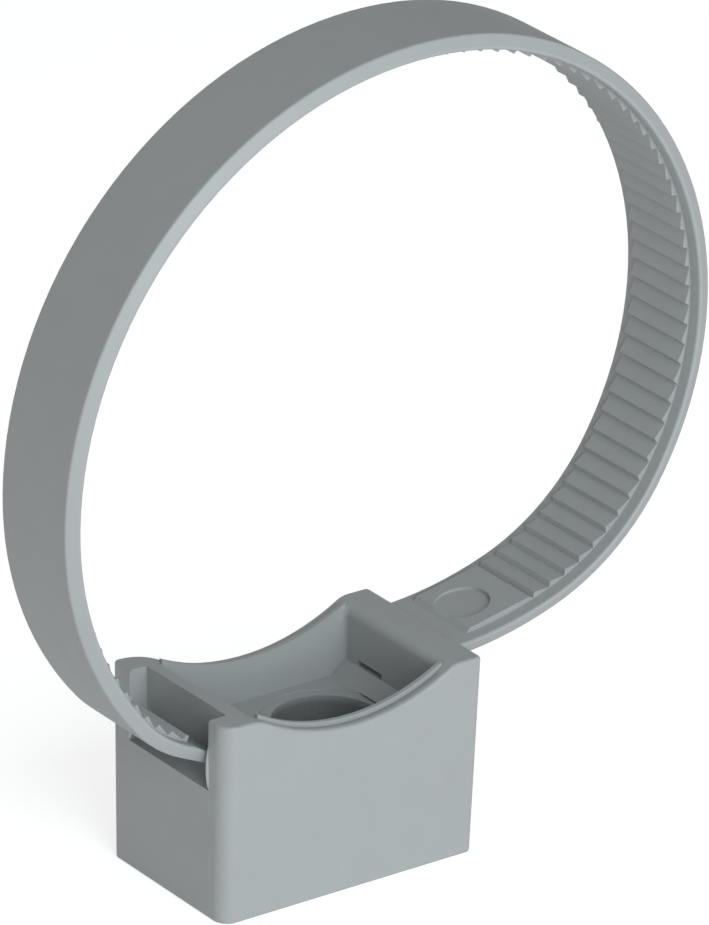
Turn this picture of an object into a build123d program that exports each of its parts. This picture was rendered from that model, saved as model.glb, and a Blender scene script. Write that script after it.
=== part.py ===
from build123d import *
import os
from math import cos, radians, sin, tan

# Pipe clip with a ratchet strap, one injection moulding in grey polyamide.
# +X is the end of the block that the strap grows from, +Z is up to the pipe.
# The origin is the centre of the foot, on the surface that the clip is screwed to.

# Driving dimensions, in millimetres and degrees.
# Block
foot_length = 23.0
foot_width = 14.1
block_height = 16.4
draft = 0.93
corner_round = 0.4
entry_corner_round = 1.3
foot_edge_round = 0.25
top_edge_round = 0.25
wall = 1.35

# Saddle across the top of the block, and the humps it runs out into.
# The near side, y below 0, is cut a little tighter than the far side.
saddle_depth = 2.6
near_saddle_radius = 16.3
near_saddle_centre = 0.45
near_entry_hump_round = 3.0
far_saddle_radius = 18.5
far_saddle_centre = -0.23
far_entry_hump_round = 9.0
root_hump_round = 2.0
rim_bead_width = 0.35
rim_bead_height = 0.28

# Pocket under the saddle
cross_wall = 1.966
root_wall = 3.066
pocket_depth = 5.8
pocket_corner_round = 0.5
root_edge_round = 0.9

# Notch in the left end, where the strap's tip goes in
notch_width = 10.2
notch_depth = 1.6
entry_slot_height = 2.2
exit_slit_width = 3.0
exit_slit_height = 0.5
exit_slit_middle = 2.65
exit_ramp_height = 1.2
exit_ramp_length = 1.2

# Stepped screw hole
screw_centre = 2.9
screw_rim_diameter = 10.4
screw_rim_depth = 0.12
head_bore_diameter = 8.6
head_seat_height = 3.0
screw_bore_diameter = 4.5

# Strap: the flange, then the toothed band that stands on its inner side
strap_outer_width = 8.1
strap_inner_width = 9.3
strap_thickness = 1.16
strap_edge_round = 0.22
strap_drop = 1.33
strap_rise_angle = 3.1
strap_inside_block = 1.6
strap_bends = [(32.4, 16.7), (18.7, 38.0), (26.8, 116.1), (31.4, 96.1), (27.5, 41.0), (11.5, 25.0)]
tip_run = 4.1
tip_thickness = 0.75
tip_taper_length = 3.6
band_inset = 1.3
band_sink = 0.5

# Teeth and the smooth plateau between the block and the first tooth
tooth_pitch = 1.67
tooth_height = 0.5
tooth_valley = 0.08
tooth_steep_share = 0.16
plateau_start = 1.55
plateau_ramp = 0.4
plateau_length = 6.4
plateau_height = 0.36
toothless_tip = 1.7
ejector_mark_diameter = 4.35
ejector_mark_depth = 0.12
ejector_mark_place = 3.8

# Sizes that follow from those
spread = tan(radians(draft))
top_length = foot_length + 2 * spread * block_height
top_width = foot_width + 2 * spread * block_height
inner_width = top_width - 2 * wall
notch_back = notch_depth - top_length / 2
pocket_left = notch_back + cross_wall
pocket_right = top_length / 2 - root_wall
floor_height = block_height - pocket_depth
strap_underside = block_height - strap_drop
overshoot = 2.0
tolerance = 0.05


def block_outline(saddle_radius, saddle_centre, entry_hump_round):
    """Side view of the block: flat ends, humps and the round saddle between them."""
    high = block_height - saddle_depth + saddle_radius
    half = top_length / 2 + overshoot
    body = Rectangle(2 * half, block_height, align=(Align.CENTER, Align.MIN))
    outline = body - Pos(saddle_centre, high) * Circle(saddle_radius)
    on_top = outline.vertices().filter_by_position(Axis.Y, block_height - tolerance, block_height + tolerance)
    entry_hump, root_hump = on_top.sort_by(Axis.X)[1:-1]
    outline = fillet(entry_hump, entry_hump_round)
    root_hump = outline.vertices().sort_by_distance((root_hump.X, root_hump.Y))[0]
    return fillet(root_hump, root_hump_round)


def level_section(length, width):
    """One level of the block: three tight corners and a softer one beside the entry."""
    shape = Rectangle(length, width)
    entry_corner = shape.vertices().sort_by_distance((-length / 2, -width / 2))[0]
    shape = fillet(entry_corner, entry_corner_round)
    corners = [(length / 2, -width / 2), (length / 2, width / 2), (-length / 2, width / 2)]
    for corner in corners:
        shape = fillet(shape.vertices().sort_by_distance(corner)[0], corner_round)
    return shape


def saddle_prism():
    """Side view carried from the near side's outline to the far side's."""
    near = block_outline(near_saddle_radius, near_saddle_centre, near_entry_hump_round)
    far = block_outline(far_saddle_radius, far_saddle_centre, far_entry_hump_round)
    half = top_width / 2 + overshoot
    return loft([Plane.XZ.offset(half) * near, Plane.XZ.offset(-half) * far], ruled=True)


def drafted_body(outside):
    """Block with its saddle, wider at the top than at the foot, with all outer edges rounded."""
    low = level_section(foot_length, foot_width)
    high = Pos(0, 0, block_height) * level_section(top_length, top_width)
    body = loft([low, high], ruled=True)
    body = body & outside
    body = fillet(body.faces().sort_by(Axis.Z)[0].edges(), foot_edge_round)
    under_saddle = block_height - saddle_depth - wall / 2
    on_top = body.edges().filter_by(lambda edge: edge.center().Z > under_saddle)
    rim = on_top.filter_by(lambda edge: abs(edge.center().Y) > wall or abs(edge.center().X) > foot_length / 2)
    return fillet(rim, top_edge_round)


def side_prism(outline, width):
    """Carry a side-view outline across the clip, centred on its middle plane."""
    return extrude(Plane.XZ * outline, width / 2, both=True)


def rim_beads(outside):
    """Fine raised lines along the inner edges of the two saddle walls."""
    raised = Pos(0, 0, rim_bead_height) * outside
    span = pocket_right - pocket_left
    place = (inner_width + rim_bead_width) / 2
    bar = Box(span, rim_bead_width, pocket_depth + overshoot, align=(Align.MIN, Align.CENTER, Align.MIN))
    return [raised & (Pos(pocket_left, side * place, floor_height) * bar) for side in (-1, 1)]


def pocket():
    """Open pocket between the saddle walls, down to the floor."""
    length = pocket_right - pocket_left
    shape = RectangleRounded(length, inner_width, pocket_corner_round)
    tall = extrude(shape, block_height - floor_height + overshoot)
    return Pos((pocket_left + pocket_right) / 2, 0, floor_height) * tall


def cross_edge(solid, place):
    """Top edge that runs across the clip at that x."""
    near_place = solid.edges().filter_by_position(Axis.X, place - tolerance, place + tolerance)
    return near_place.filter_by(lambda edge: edge.length > inner_width / 2).sort_by(Axis.Z)[-1]


def end_notch():
    """Notch in the left end face, from the floor's level up."""
    height = pocket_depth + overshoot
    return Pos(-top_length / 2 - overshoot, 0, floor_height) * Box(
        notch_depth + overshoot, notch_width, height, align=(Align.MIN, Align.CENTER, Align.MIN))


def entry_slot():
    """Slot under the cross wall, between the notch and the pocket."""
    return Pos(notch_back - overshoot, 0, floor_height) * Box(
        cross_wall + 2 * overshoot, notch_width, entry_slot_height,
        align=(Align.MIN, Align.CENTER, Align.MIN))


def exit_slit():
    """Narrow slit through the right wall, just over the ramp."""
    low = floor_height + exit_ramp_height
    return Pos(pocket_right - overshoot, exit_slit_middle, low) * Box(
        root_wall + 2 * overshoot, exit_slit_width, exit_slit_height,
        align=(Align.MIN, Align.CENTER, Align.MIN))


def exit_ramp():
    """Wedge that rises from the pocket's floor to the lower lip of the slit."""
    shape = Polygon(
        (pocket_right - exit_ramp_length, floor_height), (pocket_right + wall, floor_height - wall),
        (pocket_right + wall, floor_height + exit_ramp_height),
        (pocket_right, floor_height + exit_ramp_height),
        align=None)
    return side_prism(shape, inner_width)


def screw_hole():
    """Stepped hole: a shallow rim in the floor, the bore for the head, then the screw's bore."""
    rim = Pos(0, 0, floor_height - screw_rim_depth) * Cylinder(
        screw_rim_diameter / 2, screw_rim_depth + tolerance, align=(Align.CENTER, Align.CENTER, Align.MIN))
    head = Pos(0, 0, head_seat_height) * Cylinder(
        head_bore_diameter / 2, floor_height - head_seat_height,
        align=(Align.CENTER, Align.CENTER, Align.MIN))
    bore = Pos(0, 0, -overshoot) * Cylinder(
        screw_bore_diameter / 2, head_seat_height + 2 * overshoot,
        align=(Align.CENTER, Align.CENTER, Align.MIN))
    return Pos(screw_centre, 0, 0) * (rim + head + bore)


def strap_route():
    """The strap's outer surface in side view: a chain of arcs, each tangent to the last."""
    end = foot_length / 2 + spread * strap_underside
    rise = radians(strap_rise_angle)
    heading = Vector(cos(rise), sin(rise))
    start = Vector(end, strap_underside) - heading * strap_inside_block
    pieces = [Line((start.X, start.Y), (end, strap_underside))]
    for radius, sweep_angle in strap_bends:
        last = pieces[-1]
        pieces.append(JernArc(last @ 1, last % 1, radius, sweep_angle))
    last = pieces[-1]
    tip = (last @ 1) + (last % 1) * tip_run
    pieces.append(Line(last @ 1, tip))
    return Plane.XZ * Wire(pieces)


def inside_point(route, along, inward):
    """Side-view point that far along the strap's outer surface and that far inside it."""
    place = route.position_at(along, position_mode=PositionMode.LENGTH)
    way = route.tangent_at(along, position_mode=PositionMode.LENGTH)
    return (place.X - way.Z * inward, place.Z + way.X * inward)


def flange(route):
    """Plain strap, a little wider on its inner side, with rounded edges, carried along its route."""
    start = route.position_at(0)
    way = route.tangent_at(0)
    across = Plane(origin=start, x_dir=(0, 1, 0), z_dir=way)
    outer, inner = strap_outer_width / 2, strap_inner_width / 2
    shape = Polygon((-outer, 0), (outer, 0), (inner, strap_thickness), (-inner, strap_thickness), align=None)
    shape = fillet(shape.vertices(), strap_edge_round)
    return sweep(across * shape, path=route)


def toothed_band(route):
    """Raised band inside the strap: the plateau, then ratchet teeth right to the tip."""
    start = strap_inside_block + plateau_start
    first = start + plateau_length
    last = route.length - toothless_tip
    heights = [(start, 0.0), (start + plateau_ramp, plateau_height), (first, plateau_height)]
    steep = tooth_steep_share * tooth_pitch
    for number in range(int((last - first) / tooth_pitch)):
        root = first + steep + number * tooth_pitch
        heights.append((root, tooth_valley))
        heights.append((root + steep, tooth_height))
    heights.append((last, tooth_valley))
    upper = [inside_point(route, along, strap_thickness + height) for along, height in heights]
    lower = [inside_point(route, along, strap_thickness - band_sink) for along, height in heights]
    outline = Polygon(*upper, *reversed(lower), align=None)
    return side_prism(outline, strap_inner_width - 2 * band_inset)


def tip_taper(route):
    """Wedge that thins the last stretch of the strap on its toothed side."""
    total = route.length
    top = strap_thickness
    shape = Polygon(
        inside_point(route, total - tip_taper_length, top),
        inside_point(route, total - tip_taper_length, top + tooth_height + overshoot),
        inside_point(route, total + overshoot, top + tooth_height + overshoot),
        inside_point(route, total, tip_thickness),
        align=None)
    return side_prism(shape, strap_inner_width + overshoot)


def ejector_mark(route):
    """Shallow round mark on the plateau."""
    along = strap_inside_block + ejector_mark_place
    place = route.position_at(along, position_mode=PositionMode.LENGTH)
    way = route.tangent_at(along, position_mode=PositionMode.LENGTH)
    up = Vector(-way.Z, 0, way.X)
    level = place + up * (strap_thickness + plateau_height - ejector_mark_depth)
    disc = Cylinder(ejector_mark_diameter / 2, overshoot, align=(Align.CENTER, Align.CENTER, Align.MIN))
    return Plane(origin=level, x_dir=(0, 1, 0), z_dir=up) * disc


def block():
    outside = saddle_prism()
    body = drafted_body(outside) - end_notch()
    body = body - pocket()
    body = fillet(cross_edge(body, pocket_right), root_edge_round)
    for bead in rim_beads(outside):
        body = body + bead
    return body - entry_slot() - exit_slit() + exit_ramp() - screw_hole()


def strap():
    route = strap_route()
    shape = flange(route) + toothed_band(route)
    return shape - tip_taper(route) - ejector_mark(route)


def pipe_clip():
    return block() + strap()


os.makedirs("parts", exist_ok=True)
clip = pipe_clip()
print("solids", len(clip.solids()), "volume", round(clip.volume, 1), "box", clip.bounding_box())
export_step(clip, "parts/pipe_clip.step")
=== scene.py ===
from math import cos, radians, sin

import bpy
import numpy as np
from mathutils import Matrix, Vector


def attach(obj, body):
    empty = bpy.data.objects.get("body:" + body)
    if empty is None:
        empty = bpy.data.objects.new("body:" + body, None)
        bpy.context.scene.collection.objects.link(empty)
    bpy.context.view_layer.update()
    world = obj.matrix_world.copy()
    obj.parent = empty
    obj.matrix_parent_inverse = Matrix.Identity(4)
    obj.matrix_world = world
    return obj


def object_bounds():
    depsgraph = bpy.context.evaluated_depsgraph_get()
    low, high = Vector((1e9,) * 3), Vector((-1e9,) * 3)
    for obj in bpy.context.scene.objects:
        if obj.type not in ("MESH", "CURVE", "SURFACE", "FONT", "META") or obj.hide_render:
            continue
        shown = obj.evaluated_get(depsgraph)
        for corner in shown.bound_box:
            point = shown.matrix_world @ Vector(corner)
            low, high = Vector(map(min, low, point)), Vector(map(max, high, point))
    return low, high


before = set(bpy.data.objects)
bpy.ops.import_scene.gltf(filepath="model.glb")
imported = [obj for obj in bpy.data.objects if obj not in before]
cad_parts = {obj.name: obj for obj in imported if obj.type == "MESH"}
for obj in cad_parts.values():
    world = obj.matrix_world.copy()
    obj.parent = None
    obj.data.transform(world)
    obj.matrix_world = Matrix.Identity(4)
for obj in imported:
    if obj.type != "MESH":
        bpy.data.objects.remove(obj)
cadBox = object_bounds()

mm = 0.001
scene = bpy.context.scene


class Value:
    # wraps a socket, so that sums, products and powers of sockets add their own Math nodes
    def __init__(self, shader, socket):
        self.shader = shader
        self.socket = socket

    def math(self, operation, first, second):
        return self.shader.add("ShaderNodeMath", {"operation": operation}, {0: first, 1: second})

    def __add__(self, other):
        return self.math("ADD", self, other)

    def __sub__(self, other):
        return self.math("SUBTRACT", self, other)

    def __mul__(self, other):
        return self.math("MULTIPLY", self, other)

    def __pow__(self, other):
        return self.math("POWER", self, other)

    def __radd__(self, other):
        return self.math("ADD", other, self)

    def __rsub__(self, other):
        return self.math("SUBTRACT", other, self)

    def __rmul__(self, other):
        return self.math("MULTIPLY", other, self)

    def clamped(self):
        return self.shader.add("ShaderNodeClamp", {}, {"Value": self})

    def split(self):
        # a vector's x, y and z as three values
        parts = self.shader.add("ShaderNodeSeparateXYZ", {}, {0: self})
        return [Value(self.shader, socket) for socket in parts.socket.node.outputs]


class Shader:
    # the node tree of a material or world, filled by one method that takes type, settings and sockets
    def __init__(self, block):
        block.use_nodes = True
        self.block = block
        self.tree = block.node_tree
        self.tree.nodes.clear()

    def add(self, kind, settings=None, sockets=None, output=0):
        node = self.tree.nodes.new(kind)
        for key, setting in (settings or {}).items():
            setattr(node, key, setting)
        for key, wanted in (sockets or {}).items():
            if isinstance(wanted, Value):
                self.tree.links.new(wanted.socket, node.inputs[key])
            else:
                node.inputs[key].default_value = wanted
        return Value(self, node.outputs[output]) if len(node.outputs) else node


moulding = {
    "colour": (0.412, 0.437, 0.443),
    "mottleColour": (0.412, 0.418, 0.414),
    "mottleSize": 2.6 * mm,
    "mottleContrast": 2.4,
    "mottleShare": 0.55,
    "roughness": 0.47,
    "roughnessSpread": 0.10,
    "mottleRoughness": 0.08,
    "refraction": 1.53,
    "grainSize": 0.16 * mm,
    "grainDepth": 0.010 * mm,
    "flowSize": 6.0 * mm,
    "flowDepth": 0.035 * mm,
    "boreShade": 0.30,
    "boreCentre": 2.9 * mm,
    "boreRadius": 4.32 * mm,
    "boreTop": 10.55 * mm,
    "boreEdgeFade": 0.25 * mm,
    "boreDepthFade": 2 / 3 * mm,
}


def mouldedPlastic(facts):
    # satin grey polyamide: a soft mottle in the colour, fine spark grain and slow flow waves in the surface
    shader = Shader(bpy.data.materials.new("moulded_plastic"))
    place = shader.add("ShaderNodeTexCoord", output="Object")
    cloud = shader.add("ShaderNodeTexNoise", {}, {
        "Vector": place, "Scale": 1 / facts["mottleSize"], "Detail": 3.0, "Roughness": 0.55})
    fine = shader.add("ShaderNodeTexNoise", {}, {
        "Vector": place, "Scale": 1 / facts["grainSize"], "Detail": 2.0, "Roughness": 0.5})
    flow = shader.add("ShaderNodeTexNoise", {}, {
        "Vector": place, "Scale": 1 / facts["flowSize"], "Detail": 1.0, "Roughness": 0.4})
    share = ((cloud - 0.5) * facts["mottleContrast"] * facts["mottleShare"] + 0.5).clamped()
    # a Mix node's colours are its sockets 6 and 7, and its mixed colour is output 2
    colour = shader.add("ShaderNodeMix", {"data_type": "RGBA"}, {
        "Factor": share, 6: (*facts["colour"], 1.0), 7: (*facts["mottleColour"], 1.0)}, output=2)
    # painted shade in the screw's bore: inside its radius times below its top, each with a short fade
    x, y, z = place.split()
    reach = ((x - facts["boreCentre"]) ** 2.0 + y ** 2.0) ** 0.5
    inside = ((facts["boreRadius"] - reach) * (1 / facts["boreEdgeFade"]) + 0.5).clamped()
    below = ((facts["boreTop"] - z) * (1 / facts["boreDepthFade"])).clamped()
    shade = 1.0 - inside * below * (1.0 - facts["boreShade"])
    colour = shader.add("ShaderNodeVectorMath", {"operation": "SCALE"}, {0: colour, "Scale": shade})
    rough = facts["roughness"] + (fine - 0.5) * facts["roughnessSpread"]
    rough = rough + (cloud - 0.5) * facts["mottleRoughness"]
    grain = shader.add("ShaderNodeBump", {}, {
        "Height": fine, "Distance": facts["grainDepth"], "Strength": 1.0})
    waves = shader.add("ShaderNodeBump", {}, {
        "Height": flow, "Distance": facts["flowDepth"], "Strength": 1.0, "Normal": grain})
    surface = shader.add("ShaderNodeBsdfPrincipled", {}, {
        "Base Color": colour, "Roughness": rough, "Normal": waves, "IOR": facts["refraction"]})
    shader.add("ShaderNodeOutputMaterial", {}, {"Surface": surface})
    return shader.block


def dressClip():
    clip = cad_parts["pipe_clip"]
    clip.data.materials.clear()
    clip.data.materials.append(mouldedPlastic(moulding))
    print("clip dressed in moulded plastic")


flash = {
    "entryEnd": -11.66 * mm,
    "low": 10.75 * mm,
    "high": 14.25 * mm,
    "cheek": 5.10 * mm,
    "reach": 0.42 * mm,
    "thick": 0.16 * mm,
    "fullness": 0.6,
    "lean": 0.35,
    "tipWidth": 0.06,
    "tipThickness": 0.3,
    # the flash's paler colour is a painted highlight
    "colour": (0.62, 0.65, 0.66),
    "roughness": 0.40,
    "steps": 24,
    "round": 10,
}


def flashCrescent(facts, side):
    # a flattened round bar up the cheek's edge, in t from 0 to 1 up it and an angle round it
    # swell is sin(pi t) to the power of fullness; y is the middle plus a half width times sin(angle),
    # x is the end face plus half the thickness times cos(angle), and both sizes grow with swell
    steps, turns = facts["steps"], facts["round"]
    along = np.linspace(0.0, 1.0, steps)
    turn = np.arange(turns) * 2 * np.pi / turns
    swell = np.sin(np.pi * along) ** facts["fullness"]
    height = facts["low"] + (facts["high"] - facts["low"]) * along
    middle = side * (facts["cheek"] - facts["reach"] * swell * facts["lean"])
    half = facts["reach"] * (facts["tipWidth"] + 0.5 * swell)
    depth = facts["thick"] * 0.5 * (facts["tipThickness"] + (1 - facts["tipThickness"]) * swell)
    x = facts["entryEnd"] + depth[:, None] * np.cos(turn)[None, :]
    y = middle[:, None] + half[:, None] * np.sin(turn)[None, :]
    z = np.broadcast_to(height[:, None], x.shape)
    points = np.stack([x, y, z], axis=-1).reshape(-1, 3)
    ring, spoke = np.meshgrid(np.arange(steps - 1), np.arange(turns), indexing="ij")
    first = (ring * turns + spoke).ravel()
    second = (ring * turns + (spoke + 1) % turns).ravel()
    quads = np.stack([first, second, second + turns, first + turns], axis=1).tolist()
    lowCap = list(range(turns))[::-1]
    highCap = list(range((steps - 1) * turns, steps * turns))
    mesh = bpy.data.meshes.new("notch_flash")
    mesh.from_pydata(points.tolist(), [], quads + [lowCap, highCap])
    mesh.polygons.foreach_set("use_smooth", np.ones(len(mesh.polygons), dtype=bool))
    return mesh


def addFlash(facts):
    # paler than the body as a painted highlight, standing in for the light that flash this thin lets
    # through
    shader = Shader(bpy.data.materials.new("thin_flash"))
    surface = shader.add("ShaderNodeBsdfPrincipled", {}, {
        "Base Color": (*facts["colour"], 1.0), "Roughness": facts["roughness"]})
    shader.add("ShaderNodeOutputMaterial", {}, {"Surface": surface})
    for name, side in (("notch_flash_near", -1), ("notch_flash_far", 1)):
        mesh = flashCrescent(facts, side)
        mesh.materials.append(shader.block)
        piece = bpy.data.objects.new(name, mesh)
        scene.collection.objects.link(piece)
        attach(piece, "root")
    print("notch flash added")


camera = {
    "azimuth": -36.67,
    "elevation": 24.20,
    "roll": 1.58,
    "distance": 679.8 * mm,
    "aimRight": 4.64 * mm,
    "aimUp": 29.56 * mm,
    "lens": 350.6,
    "film": 36.0,
    "nearest": 0.01,
    "farthest": 20.0,
}


def placeCamera(facts):
    # the camera stands back from a point beside the origin, set off along its own right and up
    turn, tilt, roll = (radians(facts[name]) for name in ("azimuth", "elevation", "roll"))
    back = Vector((sin(turn) * cos(tilt), -cos(turn) * cos(tilt), sin(tilt)))
    levelRight = Vector((cos(turn), sin(turn), 0.0))
    levelUp = back.cross(levelRight)
    right = levelRight * cos(roll) + levelUp * sin(roll)
    up = levelUp * cos(roll) - levelRight * sin(roll)
    aim = right * facts["aimRight"] + up * facts["aimUp"]
    data = bpy.data.cameras.new("view_camera")
    data.sensor_width = facts["film"]
    data.lens = facts["lens"]
    data.clip_start = facts["nearest"]
    data.clip_end = facts["farthest"]
    body = bpy.data.objects.new("view_camera", data)
    scene.collection.objects.link(body)
    turned = Matrix((right, up, back)).transposed().to_4x4()
    turned.translation = aim + back * facts["distance"]
    body.matrix_world = turned
    scene.camera = body
    print("camera placed")


keyLamp = {
    "from": (-0.14, -0.92, 0.38),
    "far": 0.60,
    "size": 0.45,
    "power": 2.50,
    "colour": (0.91, 1.0, 1.03),
}


def placeLamp(facts):
    # one soft square lamp in front of the clip, aimed at its middle
    low, high = cadBox
    way = Vector(facts["from"]).normalized()
    data = bpy.data.lights.new("key_lamp", "AREA")
    data.size = facts["size"]
    data.energy = facts["power"]
    data.color = facts["colour"]
    body = bpy.data.objects.new("key_lamp", data)
    body.location = (low + high) / 2 + way * facts["far"]
    body.rotation_euler = way.to_track_quat("Z", "Y").to_euler()
    scene.collection.objects.link(body)
    print("lamp placed")


surroundings = {"light": 0.39, "seenColour": (1.0, 1.0, 1.0)}


def lightWorld(facts):
    # plain soft light from all round, which the camera sees as white
    shader = Shader(bpy.data.worlds.new("plain_world"))
    seen = shader.add("ShaderNodeLightPath")
    light = shader.add("ShaderNodeBackground", {}, {"Strength": facts["light"]})
    white = shader.add("ShaderNodeBackground", {}, {"Color": (*facts["seenColour"], 1.0)})
    mixed = shader.add("ShaderNodeMixShader", {}, {0: seen, 1: light, 2: white})
    shader.add("ShaderNodeOutputWorld", {}, {"Surface": mixed})
    scene.world = shader.block
    print("world lit")


floorFacts = {"reach": 1.2, "colour": (0.80, 0.80, 0.80), "lift": 0.45, "glow": 0.20}


def layFloor(facts):
    # flat pale square at the foot's level; it glows a little for every ray and more for the camera's
    reach = facts["reach"]
    corners = [(-reach, -reach, 0), (reach, -reach, 0), (reach, reach, 0), (-reach, reach, 0)]
    mesh = bpy.data.meshes.new("floor")
    mesh.from_pydata(corners, [], [(0, 1, 2, 3)])
    floor = bpy.data.objects.new("floor", mesh)
    scene.collection.objects.link(floor)
    shader = Shader(bpy.data.materials.new("pale_floor"))
    seen = shader.add("ShaderNodeLightPath")
    matt = shader.add("ShaderNodeBsdfDiffuse", {}, {"Color": (*facts["colour"], 1.0)})
    glow = shader.add("ShaderNodeEmission", {}, {"Strength": seen * facts["lift"] + facts["glow"]})
    both = shader.add("ShaderNodeAddShader", {}, {0: matt, 1: glow})
    shader.add("ShaderNodeOutputMaterial", {}, {"Surface": both})
    mesh.materials.append(shader.block)
    print("floor laid")


dressClip()
addFlash(flash)
placeCamera(camera)
placeLamp(keyLamp)
lightWorld(surroundings)
layFloor(floorFacts)
scene.view_settings.view_transform = "Standard"
